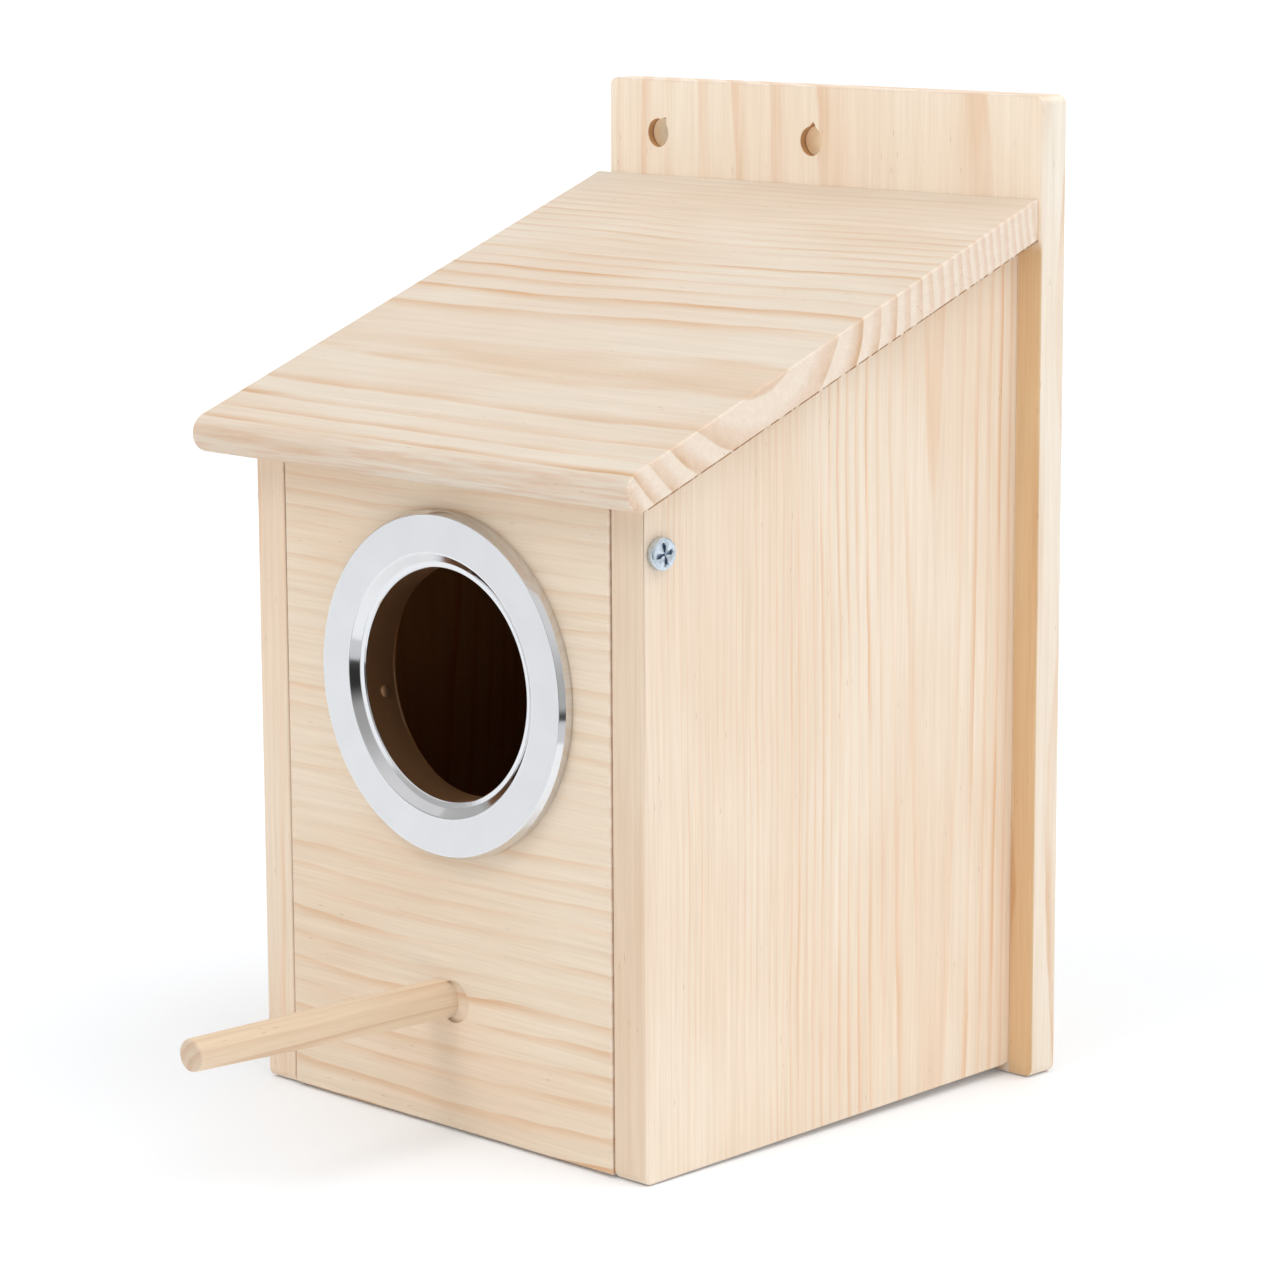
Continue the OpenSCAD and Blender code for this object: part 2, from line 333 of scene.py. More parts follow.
class Graph:
    """A material under construction, with short ways to add nodes."""

    def __init__(self, name):
        self.material = bpy.data.materials.new(name)
        self.material.use_nodes = True
        self.tree = self.material.node_tree
        self.shader = self.tree.nodes["Principled BSDF"]

    def node(self, kind, **settings):
        """A new node with the given settings."""
        made = self.tree.nodes.new(kind)
        for key, value in settings.items():
            setattr(made, key, value)
        return made

    def feed(self, socket, value):
        """Links the value to the socket if it is one itself, or else sets it."""
        if isinstance(value, bpy.types.NodeSocket):
            self.tree.links.new(value, socket)
        else:
            socket.default_value = value

    def math(self, operation, first, second=0.0, third=None, clamp=False):
        """One step of arithmetic."""
        made = self.node("ShaderNodeMath", operation=operation, use_clamp=clamp)
        self.feed(made.inputs[0], first)
        self.feed(made.inputs[1], second)
        if third is not None:
            self.feed(made.inputs[2], third)
        return made.outputs[0]

    def product(self, *factors):
        """All the factors multiplied, from left to right."""
        total = factors[0]
        for factor in factors[1:]:
            total = self.math("MULTIPLY", total, factor)
        return total

    def length(self, first, second):
        """The length of a vector with the two given parts."""
        squares = self.math("ADD", self.product(first, first), self.product(second, second))
        return self.math("SQRT", squares)

    def apart(self, value, place):
        """How far value is from place, either way."""
        return self.math("ABSOLUTE", self.math("SUBTRACT", value, place))

    def ramp(self, value, low, high, to_low=0.0, to_high=1.0, smooth=True):
        """Runs from to_low to to_high while value runs from low to high."""
        made = self.node("ShaderNodeMapRange", interpolation_type="SMOOTHSTEP" if smooth else "LINEAR")
        for socket, given in zip(made.inputs, (value, low, high, to_low, to_high)):
            self.feed(socket, given)
        return made.outputs[0]

    def vector(self, x, y, z):
        """A vector of three parts."""
        made = self.node("ShaderNodeCombineXYZ")
        for socket, given in zip(made.inputs, (x, y, z)):
            self.feed(socket, given)
        return made.outputs[0]

    def split(self, vector):
        """The three parts of a vector."""
        made = self.node("ShaderNodeSeparateXYZ")
        self.feed(made.inputs[0], vector)
        return made.outputs

    def noise(self, vector, scale=1.0, detail=2.0, roughness=0.5, output="Fac"):
        """Smooth noise, as one value or as a colour of three."""
        made = self.node("ShaderNodeTexNoise")
        self.feed(made.inputs["Vector"], vector)
        made.inputs["Scale"].default_value = scale
        made.inputs["Detail"].default_value = detail
        made.inputs["Roughness"].default_value = roughness
        return made.outputs[output]

    def mix(self, share, first, second, blend="MIX"):
        """The first colour with this share of the second one blended in."""
        made = self.node("ShaderNodeMix", data_type="RGBA", blend_type=blend)
        self.feed(made.inputs["Factor"], share)
        for socket, given in ((made.inputs[6], first), (made.inputs[7], second)):
            self.feed(socket, (*given, 1.0) if isinstance(given, tuple) else given)
        return made.outputs[2]

    def bump(self, height, strength, distance):
        """Relief for the shader, from a height of 0 to 1."""
        made = self.node("ShaderNodeBump")
        made.inputs["Strength"].default_value = strength
        made.inputs["Distance"].default_value = distance
        self.feed(made.inputs["Height"], height)
        self.feed(self.shader.inputs["Normal"], made.outputs[0])

    def place_mm(self, tilt=0.0):
        """The piece's own coordinates in millimetres, turned about X by tilt."""
        scaled = self.node("ShaderNodeMapping", vector_type="POINT")
        scaled.inputs["Scale"].default_value = (1000, 1000, 1000)
        scaled.inputs["Rotation"].default_value = (tilt, 0, 0)
        self.feed(scaled.inputs["Vector"], self.node("ShaderNodeTexCoord").outputs["Object"])
        return scaled.outputs[0]


def chamber_shade_share(g):
    """1 on the faces that close in the nest chamber, where painted shade makes the wood darker than on the
    open faces.
    """
    x, y, z = g.split(g.place_mm())
    edge, blur = 0.5, 0.1
    slope = math.tan(ROOF_ANGLE)
    level = g.math("MULTIPLY_ADD", y, -slope, z)
    under_roof = mm(roof_high.z - ROOF_CUT - roof_high.y * slope)
    past = ((x, mm(left_high.x) - edge - blur),
            (y, mm(door_high.y) - edge - blur),
            (z, mm(floor_low.z) + edge))
    short_of = ((x, mm(right_low.x) + edge), (y, mm(board_low.y) + edge), (level, under_roof + edge))
    shares = [g.ramp(value, start, start + blur) for value, start in past]
    shares += [g.ramp(value, start, start + blur, 1.0, 0.0) for value, start in short_of]
    return g.product(*shares)


# Pine. Within a growth ring, from 0 to 1, the latewood builds up over LATE_RISE and ends over LATE_FALL.
# Years differ in strength, and each line comes and goes along the grain. The rings fade towards the pith
# (INNER_RINGS) and, down to OUTER_LATE of their strength, far from it (OUTER_RINGS).
FIRST_RING = 0.34
LATE_RISE = (0.36, 0.93)
LATE_FALL = (0.92, 0.99, 1.0, 0.0)
YEAR_RANGE = (0.75, 0.4)
ALONG_RANGE = (0.32, 0.68, 0.3, 1.2)
INNER_RINGS = (0.9, 2.3, 0.5, 1.0)
OUTER_RINGS = (6.0, 18.0)
OUTER_LATE = 0.45
# A sawn end reaches this far in, and shows the latewood less and pinkish bands as well
SAWN_DEPTH = (0.05, 0.9, 1.0, 0.0)
SAWN_FADE = (2.5, 9.0, 0.12, 0.68)
BLUSH_RISE = (0.3, 0.6)
BLUSH_FALL = (0.92, 0.98, 1.0, 0.0)
BLUSH_SHARE = 0.8
BLUSH = (0.93, 0.85, 0.8)
# How much the fibres and the broader bands change the tone, and how much more so in green and blue
FIBRE_TONE = 0.036
BAND_TONE = 0.026
GREEN_POWER = 1.35
BLUE_POWER = 1.8
PINKER = (3, 8, 11)
RESIN = (176, 122, 82)
MOTTLE = (211, 167, 130)
# Painted shade, multiplied into the wood inside the nest chamber
CHAMBER_SHADE_TINT = (0.36, 0.17, 0.06)


def pine(name, along, across, ends, pith, lean, ring, warp, late, seed, power=2.0, tilt=0.0,
         light=(244, 227, 206), dark=(229, 174, 119), end=(243, 226, 208), mottle=None, stains_and_shade=None):
    """Sawn pine as a solid: growth rings round a pith line, fibres along it, and rougher, pinker sawn ends.

    along and across name the board's own axes and ends holds its two ends along the grain. pith is
    (across, depth) where along is 0, and lean is its drift per millimetre along the grain. ring is the first
    growth ring's radius and power how fast the rings close up outwards. warp bends them and late is how dark
    they are. Lengths are in millimetres. mottle is the place across the grain up to which a machined edge is
    streaky, and stains_and_shade gives (share, colour) pairs of stains and of painted shade."""
    g = Graph(name)
    depth = "XYZ".replace(along, "").replace(across, "")
    axes = dict(zip("XYZ", g.split(g.place_mm(tilt))))
    v, u, w = axes[along], axes[across], axes[depth]
    moved = g.math("ADD", v, seed * 37.0)

    def stretched(by_v, by_uw, detail=2.0, roughness=0.5, output="Fac"):
        """Noise that is drawn out along the grain."""
        place = g.vector(g.product(moved, by_v), g.product(u, by_uw), g.product(w, by_uw))
        return g.noise(place, 1.0, detail, roughness, output)

    slow = g.split(stretched(0.007, 0.012, 1.0, 0.5, "Color"))
    quick = g.split(stretched(0.03, 0.06, 2.0, 0.5, "Color"))

    def from_pith(place, start, drift, which):
        """How far place is from the pith, with the rings' slow and quick bends."""
        bend = g.math("MULTIPLY_ADD", slow[which], warp * 12, warp * -6)
        bend = g.math("ADD", bend, g.math("MULTIPLY_ADD", quick[which], warp * 2.4, warp * -1.2))
        return g.math("ADD", g.math("SUBTRACT", place, g.math("MULTIPLY_ADD", v, drift, start)), bend)

    radius = g.length(from_pith(u, pith[0], lean[0], 0), from_pith(w, pith[1], lean[1], 1))
    phase = g.math("ADD", g.math("POWER", g.math("DIVIDE", radius, ring), power), FIRST_RING)
    share = g.math("FRACT", phase)
    year = g.node("ShaderNodeTexWhiteNoise", noise_dimensions="1D")
    g.feed(year.inputs["W"], g.math("ADD", g.math("FLOOR", phase), seed))
    to_end = g.math("MINIMUM", g.math("SUBTRACT", v, ends[0]), g.math("SUBTRACT", ends[1], v))
    sawn = g.ramp(to_end, *SAWN_DEPTH)
    rise = g.ramp(share, *LATE_RISE)
    latewood = g.product(
        rise, rise, g.ramp(share, *LATE_FALL), g.math("MULTIPLY_ADD", year.outputs["Value"], *YEAR_RANGE),
        g.ramp(stretched(0.014, 0.09), *ALONG_RANGE), g.ramp(phase, *INNER_RINGS),
        g.ramp(phase, *OUTER_RINGS, late, late * OUTER_LATE),
        g.math("SUBTRACT", 1.0, g.product(sawn, g.ramp(phase, *SAWN_FADE))))
    blush = g.product(g.ramp(share, *BLUSH_RISE), g.ramp(share, *BLUSH_FALL), sawn, BLUSH_SHARE)

    fibres = stretched(0.035, 1.7, 4.0, 0.6)
    threads = stretched(0.012, 0.42, 3.0, 0.55)
    clouds = stretched(0.01, 0.03)
    fine = g.ramp(fibres, 0.32, 0.68, -1.0, 1.0, False)
    bands = g.ramp(threads, 0.3, 0.7, -1.0, 1.0, False)

    pinker = tuple(c - d for c, d in zip(light, PINKER))
    base = g.mix(g.ramp(clouds, 0.35, 0.65), linear(*light), linear(*pinker))
    base = g.mix(g.product(sawn, 0.85), base, linear(*end))
    base = g.mix(blush, base, BLUSH, "MULTIPLY")
    colour = g.mix(g.math("MULTIPLY", latewood, 1.0, clamp=True), base, linear(*dark))
    tone = g.math("MULTIPLY_ADD", fine, FIBRE_TONE, 1.0)
    tone = g.math("MULTIPLY_ADD", bands, BAND_TONE, tone)
    tint = g.vector(tone, g.math("POWER", tone, GREEN_POWER), g.math("POWER", tone, BLUE_POWER))
    colour = g.mix(1.0, colour, tint, "MULTIPLY")

    # Resin canals, as short dark dashes along the grain that come in groups
    cells = g.node("ShaderNodeTexVoronoi")
    g.feed(cells.inputs["Vector"], g.vector(g.product(moved, 0.16), u, w))
    cells.inputs["Scale"].default_value = 0.55
    canal = g.product(g.ramp(cells.outputs["Distance"], 0.06, 0.12, 1.0, 0.0),
                      g.ramp(stretched(0.02, 0.12, 1.0), 0.5, 0.62), g.math("MULTIPLY_ADD", sawn, 0.4, 0.3))
    colour = g.mix(canal, colour, linear(*RESIN))
    if mottle is not None:
        near = g.ramp(u, mottle + 1.0, mottle + 6.0, 1.0, 0.0)
        patch = g.ramp(stretched(0.04, 0.7, 3.0, 0.6), 0.38, 0.68, 0.1, 1.0)
        colour = g.mix(g.product(near, patch, 0.5), colour, linear(*MOTTLE))
    # Stains and painted shade, multiplied into the colour
    for marked, mark_colour in stains_and_shade(g) if stains_and_shade else ():
        colour = g.mix(marked, colour, mark_colour, "MULTIPLY")
    # Painted shade on the faces inside the nest chamber
    colour = g.mix(chamber_shade_share(g), colour, CHAMBER_SHADE_TINT, "MULTIPLY")
    g.feed(g.shader.inputs["Base Color"], colour)

    rough = g.math("MULTIPLY_ADD", fine, 0.05, 0.6)
    g.feed(g.shader.inputs["Roughness"], g.math("MULTIPLY_ADD", sawn, 0.15, rough))
    g.shader.inputs["Specular IOR Level"].default_value = 0.3
    relief = g.math("MULTIPLY_ADD", fibres, 0.6, g.product(latewood, 0.35))
    kerf = g.noise(g.vector(g.product(v, 0.1), g.product(u, 2.2), g.product(w, 0.15)))
    relief = g.math("ADD", relief, g.product(kerf, sawn, 1.3))
    g.bump(relief, 0.35, 0.12 * MM)
    return g.material


def metal(name, colour, roughness, variation=0.05, marks_scale=3.0, recess_shade=None):
    """Bare metal with fine handling marks and a little unevenness. recess_shade gives a (share, colour) pair
    of painted shade.
    """
    g = Graph(name)
    place = g.place_mm()
    marks = g.noise(place, marks_scale, 4.0, 0.6)
    tone = g.ramp(g.noise(place, 0.12, 2.0), 0.3, 0.7, 1.0 - variation, 1.0)
    bare = g.mix(1.0, linear(*colour), g.vector(tone, tone, tone), "MULTIPLY")
    # Painted shade in recesses
    if recess_shade is not None:
        share, dark = recess_shade(g)
        bare = g.mix(share, bare, dark)
    g.feed(g.shader.inputs["Base Color"], bare)
    g.feed(g.shader.inputs["Roughness"], g.ramp(marks, 0.3, 0.7, roughness * 0.8, roughness * 1.2))
    g.shader.inputs["Metallic"].default_value = 1.0
    g.bump(marks, 0.1, 0.02 * MM)
    return g.material


def ring_metal():
    """Bright plated metal: satin on the flat face, polished on the rim, the chamfer and the lip.

    The collar inside is duller, and the warm tone of the wood round it is painted into its colour as a
    painted reflection."""
    g = Graph("ring metal")
    place = g.place_mm()
    x, y, z = g.split(place)
    dx = g.math("SUBTRACT", x, mm(ring_x))
    dz = g.math("SUBTRACT", z, mm(ring_z))
    radius = g.length(dx, dz)
    inner, outer = mm(FACE_INNER_R), mm(flange_r - RIM_BEVEL[0])
    face = g.product(g.ramp(radius, inner, inner + 0.5), g.ramp(radius, outer - 0.4, outer, 1.0, 0.0))
    marks = g.noise(place, 4.0, 4.0, 0.65)
    turned = g.vector(g.product(radius, 6.0), g.product(dx, 0.05), g.product(dz, 0.05))
    brushed = g.noise(turned, 1.0, 3.0)
    below_lip = mm(ring_low.y + LIP_DROP) + 0.6
    seat_r = mm(RING_SEAT_R)
    collar = g.product(g.ramp(y, below_lip, below_lip + 0.3), g.ramp(radius, seat_r, seat_r + 0.1, 1.0, 0.0))
    rough = g.math("MULTIPLY_ADD", face, 0.29, g.math("MULTIPLY_ADD", collar, 0.4, 0.1))
    g.feed(g.shader.inputs["Roughness"], g.product(rough, g.ramp(marks, 0.3, 0.7, 0.85, 1.15)))
    tone = g.ramp(g.noise(place, 0.08), 0.3, 0.7, 0.97, 1.0)
    plated = g.mix(1.0, linear(226, 226, 227), g.vector(tone, tone, tone), "MULTIPLY")
    # The collar's brown is a painted reflection of the wood round it
    g.feed(g.shader.inputs["Base Color"], g.mix(collar, plated, linear(192, 146, 104)))
    g.shader.inputs["Metallic"].default_value = 1.0
    g.bump(g.product(g.math("MULTIPLY_ADD", brushed, 0.5, marks), face), 0.08, 0.02 * MM)
    return g.material


# ---------------------------------------------------------------------------------- boards
def back_board():
    """The back board, with two nicked hanging holes, a pocket behind each and pits for the brads' heads."""
    corners = [(board_low.x, board_low.z), (board_high.x, board_low.z), (board_high.x, board_high.z),
               (board_low.x, board_high.z)]
    outline = rounded_outline(corners, [BACK_CORNER_R] * 4)
    piece = slab("back_board_pine", outline, in_xz, board_low.y, board_high.y, lambda x, z: BOARD_EASE,
                 seed=BACK_SEED)
    hang = next(m for m in record["mounts"] if m["name"] == "hanging_holes")
    hang_x, hang_z = hang["pos_m"][0], hang["pos_m"][2]
    half = hang["dims"]["spacing_x_mm"] * MM / 2
    cutters = []
    for side, turn in zip((-1, 1), HANG_NICK_TURNS):
        spot = Vector((hang_x + side * half, board_low.y, hang_z))
        cutters.append(hanging_cutter(spot, turn))
        pocket = spot + Vector((0, HANG_LIP_T, 0))
        cutters.append(rod(HANG_POCKET_R, 12 * MM, facing(pocket, (0, 1, 0))))
    pit = CUT_PAST + BRAD_SET * BRAD_PIT
    for places in brad_places().values():
        for spot, direction in places:
            start = Vector(spot) - Vector(direction) * CUT_PAST
            cutters.append(rod(BRAD_HEAD_R + BRAD_PIT_GAP, pit, facing(start, direction), segments=24))
    cut(piece, cutters)

    def stains_and_shade(g):
        """Warmer hole walls, drill burn and painted shade on the holes' front lips with a painted shadow line
        at their rear, painted shade and bounce light beside the box, and painted shade that darkens the outer
        edges.
        """
        x, y, z = g.split(g.place_mm())
        front = mm(board_low.y)
        lip = mm(board_low.y + HANG_LIP_T)
        hole_reach = (7.0, 7.2, 1.0, 0.0)
        from_hole = g.math("SUBTRACT", g.apart(x, mm(hang_x)), mm(half))
        in_hole = g.product(g.ramp(g.math("ABSOLUTE", from_hole), *hole_reach),
                            g.ramp(g.apart(z, mm(hang_z)), *hole_reach))
        edge = g.product(g.ramp(y, front + 0.1, front + 0.5), in_hole)
        # Drill burn and painted shade on each hole's front lip, and a painted shadow line at its rear where
        # it steps into the pocket
        burnt_and_shaded_lip = g.product(edge, g.ramp(y, lip, lip + 0.2, 1.0, 0.0))
        lip_step_shadow = g.product(burnt_and_shaded_lip, g.ramp(y, lip - 1.0, lip - 0.2))
        beside = g.apart(x, mm(box_x))
        panel = mm(right_high.x - box_x)
        eaves = mm(roof_high.z - ROOF_CUT)
        # Painted shade and warm bounce light on the back board's front face beside the side panels, below the
        # eaves
        shade_beside_box = g.product(g.ramp(beside, panel - 0.5, panel + 0.5),
                             g.ramp(z, eaves - 3, eaves + 1, 1.0, 0.0),
                             g.ramp(y, front + 0.2, front + 0.6, 1.0, 0.0))
        rim = mm(board_high.x - box_x)
        # Painted shade that darkens and cools the board's outer edges
        shaded_outer_edges = g.ramp(beside, rim - 0.6, rim - 0.2)
        return ((edge, (1.0, 0.95, 0.84)), (burnt_and_shaded_lip, (0.62, 0.44, 0.27)), (lip_step_shadow, (0.6, 0.5, 0.42)),
                (shade_beside_box, (0.82, 0.67, 0.48)), (shaded_outer_edges, (0.92, 0.94, 0.97)))

    ends = (0, mm(board_high.z))
    material = pine("pine back board", "Z", "X", ends, pith=(30, 190), lean=(0.01, 0.02), ring=30, warp=1.3,
                    late=0.5, seed=BACK_SEED, power=1.6, light=(255, 241, 221), stains_and_shade=stains_and_shade)
    return dress(piece, material, "house", "back_board")


def hanging_cutter(spot, turn):
    """A round hole with a pointed nick, running from just before spot towards +Y."""
    half = math.asin(HANG_NICK_W / 2 / HANG_R)
    count = 56
    points = [(0.0, HANG_NICK_REACH)]
    for k in range(count + 1):
        at = math.pi / 2 + half + (2 * math.pi - 2 * half) * k / count
        points.append((HANG_R * math.cos(at), HANG_R * math.sin(at)))
    c, s = math.cos(-turn), math.sin(-turn)
    ring = [(x * c - y * s + spot.x, x * s + y * c + spot.z) for x, y in points]
    size = len(ring)
    past_rear = 14 * MM
    vertices = [(x, spot.y + d, z) for d in (-MM, past_rear) for x, z in ring]
    faces = [(i, (i + 1) % size, size + (i + 1) % size, size + i) for i in range(size)]
    faces += [tuple(range(size)), tuple(range(size, 2 * size))]
    return make_piece("cutter", vertices, faces)


def front_edge_shade(g):
    """Painted shade on the side panels' narrow front edges, which makes them darker than their faces, the
    right one more so.
    """
    x, y, z = g.split(g.place_mm())
    front = mm(right_low.y)
    share = g.ramp(y, front + 0.3, front + 0.9, 1.0, 0.0)
    right = g.ramp(x, -1, 1)
    return (share, (0.96, 0.93, 0.9)), (g.product(share, right), (0.93, 0.91, 0.89))


def side_panel(node, low, high, material):
    """A side panel with a sloping top, a slightly rising lower edge and the pivot screw's hole."""
    drop = (high.y - low.y) * math.tan(ROOF_ANGLE)
    top = high.z - JOINT_GAP
    corners = [(low.y, low.z), (high.y, low.z + SIDE_RISE), (high.y, top), (low.y, top - drop)]
    outline = rounded_outline(corners, SIDE_CORNERS_R)

    def ease(y, z):
        """The edges are rounder at the front and a little along the bottom."""
        at_front = max(0.0, 1 - (y - low.y) / (2 * MM))
        at_bottom = max(0.0, 1 - (z - low.z - 3 * MM) / (3 * MM))
        return (0.3 + 0.45 * max(min(1.0, at_front), 0.3 * min(1.0, at_bottom))) * MM

    piece = slab(node + "_pine", outline, in_yz, low.x, high.x, ease, seed=low.x * 100)
    start = facing((low.x - CUT_PAST / 2, pivot.y, pivot.z), (1, 0, 0))
    hole = rod(SCREW_R + SCREW_CLEARANCE, high.x - low.x + CUT_PAST, start)
    cut(piece, [hole])
    return dress(piece, material, "house", node)


def side_panels():
    """Both side panels, sawn from boards whose pith lay behind the faces that show."""
    for node, low, high, pith_y, pith_x, drift in (
            ("left_side", left_low, left_high, 20, -88, 0.03),
            ("right_side", right_low, right_high, 80, mm(right_high.x) - 13.5, 0.034)):
        ends = (0.0, mm(high.z))
        material = pine("pine " + node, "Z", "Y", ends, pith=(pith_y, pith_x), lean=(0.0, drift), ring=10.4,
                        warp=0.45, late=0.6, seed=high.x * 100, power=1.5, stains_and_shade=front_edge_shade)
        side_panel(node, low, high, material)


def floor_panel():
    """The floor, between the side panels."""
    corners = [(floor_low.y, floor_low.z), (floor_high.y, floor_low.z), (floor_high.y, floor_high.z),
               (floor_low.y, floor_high.z)]
    outline = rounded_outline(corners, [0.5 * MM] * 4)
    piece = slab("floor_pine", outline, in_yz, floor_low.x, floor_high.x, lambda y, z: FLOOR_EASE,
                 seed=FLOOR_SEED)
    ends = (mm(floor_low.x), mm(floor_high.x))
    material = pine("pine floor", "X", "Y", ends, pith=(40, 60), lean=(0.0, 0.02), ring=28, warp=1.2,
                    late=0.5, seed=FLOOR_SEED)
    return dress(piece, material, "house", "floor_panel")


def roof():
    """The sloping roof board, cut upright at the back board and fully rounded along its front edge."""
    nose_r = ROOF_T / 2
    to_nose = Vector((-math.cos(ROOF_ANGLE), -math.sin(ROOF_ANGLE)))
    upwards = Vector((-math.sin(ROOF_ANGLE), math.cos(ROOF_ANGLE)))
    rear_top = Vector((roof_high.y, roof_high.z))
    run = (rear_top.x + nose_r * math.sin(ROOF_ANGLE) - roof_low.y - nose_r) / math.cos(ROOF_ANGLE)
    nose_top = rear_top + to_nose * (run + nose_r)
    corners = [tuple(rear_top - Vector((0, ROOF_CUT))), tuple(rear_top), tuple(nose_top),
               tuple(nose_top - upwards * ROOF_T)]
    outline = rounded_outline(corners, (*ROOF_REAR_CORNERS_R, nose_r * 0.999, nose_r * 0.999))

    def ease(y, z):
        """Sharper edges where the board was cut to meet the back board."""
        return (0.25 + 0.35 * min(1.0, max(0.0, (roof_high.y - y) / (4 * MM)))) * MM

    piece = slab("roof_pine", outline, in_yz, roof_low.x, roof_high.x, ease, seed=ROOF_SEED)
    nose_slope = -(nose_top.dot(to_nose))
    top_level = rear_top.dot(upwards)
    pith = (mm(nose_slope) + 57, mm(top_level) + 18)
    underside = mm(roof_high.z - ROOF_CUT - roof_high.y * math.tan(ROOF_ANGLE))

    def stains_and_shade(g):
        """A broken dark line along the lower edge of each sawn end."""
        place = g.place_mm()
        x, y, z = g.split(place)
        level = g.math("MULTIPLY_ADD", y, -math.tan(ROOF_ANGLE), z)
        from_middle = g.apart(x, mm(roof_low.x + roof_high.x) / 2)
        half = mm(roof_high.x - roof_low.x) / 2
        share = g.product(g.ramp(level, underside + 0.6, underside + 0.85, 1.0, 0.0),
                          g.ramp(from_middle, half - 1.0, half - 0.7),
                          g.ramp(g.noise(place, 0.35, 3.0, 0.7), 0.36, 0.5))
        return ((share, (0.45, 0.3, 0.18)),)

    ends = (mm(roof_low.x), mm(roof_high.x))
    material = pine("pine roof", "X", "Y", ends, pith=pith, lean=(0.0, -0.024), ring=26, warp=0.9, late=0.78,
                    seed=ROOF_SEED, tilt=-ROOF_ANGLE, light=(227, 214, 197), dark=(212, 170, 128),
                    mottle=mm(nose_slope), stains_and_shade=stains_and_shade)
    return dress(piece, material, "house", "roof")


def front_door():
    """The door, with the ring's seat and the perch's socket cut into it."""
    drop = (door_high.y - door_low.y) * math.tan(ROOF_ANGLE)
    corners = [(door_low.y, door_low.z), (door_high.y, door_low.z), (door_high.y, door_high.z),
               (door_low.y, door_high.z - drop)]
    outline = rounded_outline(corners, DOOR_CORNERS_R)
    piece = slab("door_pine", outline, in_yz, door_low.x, door_high.x, lambda y, z: BOARD_EASE,
                 seed=DOOR_SEED)
    before = door_low.y - 4 * MM
    seat = rod(RING_SEAT_R, 20 * MM, facing((ring_x, before, ring_z), (0, 1, 0)), segments=128)
    socket_r = PERCH_R + PERCH_SOCKET_GAP
    socket = rod(socket_r, 5 * MM, facing((ring_x, before, PERCH_Z), (0, 1, 0)), segments=72)
    cut(piece, [seat, socket])
    ends = (mm(door_low.x), mm(door_high.x))
    pith = (-40, mm(door_low.y) + 25)
    material = pine("pine door", "X", "Z", ends, pith=pith, lean=(0.012, 0.0), ring=16, warp=1.1, late=0.8,
                    seed=DOOR_SEED, power=1.35, light=(238, 220, 197), dark=(222, 176, 130))
    return dress(piece, material, "door", "front_door")


def dress(piece, material, body, node):
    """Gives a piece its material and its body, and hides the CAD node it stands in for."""
    piece.data.materials.clear()
    piece.data.materials.append(material)
    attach(piece, body)
    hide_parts(node)
    return piece


# ---------------------------------------------------------------------------------- metal and perch
def brad_places():
    """For every brad node, where each brad's head is and the way it is driven."""
    level = (0, -1, 0)
    sloping = (0, -math.cos(ROOF_ANGLE), -math.sin(ROOF_ANGLE))
    rear = board_high.y
    panels = ((left_low.x + left_high.x) / 2, (right_low.x + right_high.x) / 2)
    roof_x = (roof_low.x + roof_high.x) / 2
    roof_z = roof_high.z - ROOF_CUT / 2 + (board_high.y - board_low.y) * math.tan(ROOF_ANGLE)
    floor_z = (floor_low.z + floor_high.z) / 2
    return {
        "side_brads": [((panel, rear, z), level) for panel in panels for z in SIDE_BRAD_HEIGHTS],
        "roof_brads": [((roof_x + shift, rear, roof_z), sloping) for shift in ROOF_BRAD_SHIFTS],
        "floor_brads": [((box_x + shift, rear, floor_z), level) for shift in FLOOR_BRAD_SHIFTS]}


def brads():
    """Thin nails through the back board, their heads punched just below its rear face."""
    profile = [
        (0, 0), (BRAD_HEAD_R * 0.7, 0.03 * MM), (BRAD_HEAD_R * 0.95, 0.15 * MM), (BRAD_HEAD_R, 0.35 * MM),
        (BRAD_HEAD_R * 0.9, 0.7 * MM), (BRAD_R, 1.2 * MM), (BRAD_R, BRAD_L - 2 * MM), (0.15 * MM, BRAD_L),
        (0, BRAD_L)]
    steel = metal("brad steel", (158, 160, 164), 0.42, variation=0.2)
    for node, places in brad_places().items():
        made = []
        for spot, direction in places:
            deeper = 1.0 if direction[2] == 0 else BRAD_SET_SLANTED
            sunk = Vector(spot) + Vector(direction) * BRAD_SET * deeper
            made.append(lathe("brad", profile, facing(sunk, direction), segments=20))
        dress(join(node + "_steel", made), steel, "house", node)


def pivot_screws():
    """Pan-head screws with a real cross recess, on which the door swings."""
    steel = metal("zinc screw", (214, 226, 236), 0.3, marks_scale=1.0, recess_shade=screw_recess_shade)
    made = []
    for side, face_x, door_x in ((-1, left_low.x, door_low.x), (1, right_high.x, door_high.x)):
        base = face_x + side * SCREW_GAP
        length = abs(face_x - door_x) + SCREW_BITE
        profile = [
            (0, SCREW_HEAD_H), (SCREW_HEAD_R, SCREW_HEAD_H - 0.25 * MM), (SCREW_HEAD_R, 0.2 * MM),
            (SCREW_HEAD_R - 0.2 * MM, 0), (SCREW_R, 0), (SCREW_R, -length + 4 * MM), (0.3 * MM, -length),
            (0, -length)]
        radii = [0, 0.7 * MM, 0, 0, 0, 0, 0, 0]
        seat = facing((base, pivot.y, pivot.z), (side, 0, 0))
        head = lathe("screw", fillet(profile, radii), seat, segments=72)
        cut(head, [recess_wing(seat, SCREW_TURN + math.pi / 2 * k) for k in range(4)])
        made.append(head)
    dress(join("pivot_screws_zinc", made), steel, "door", "pivot_screws")


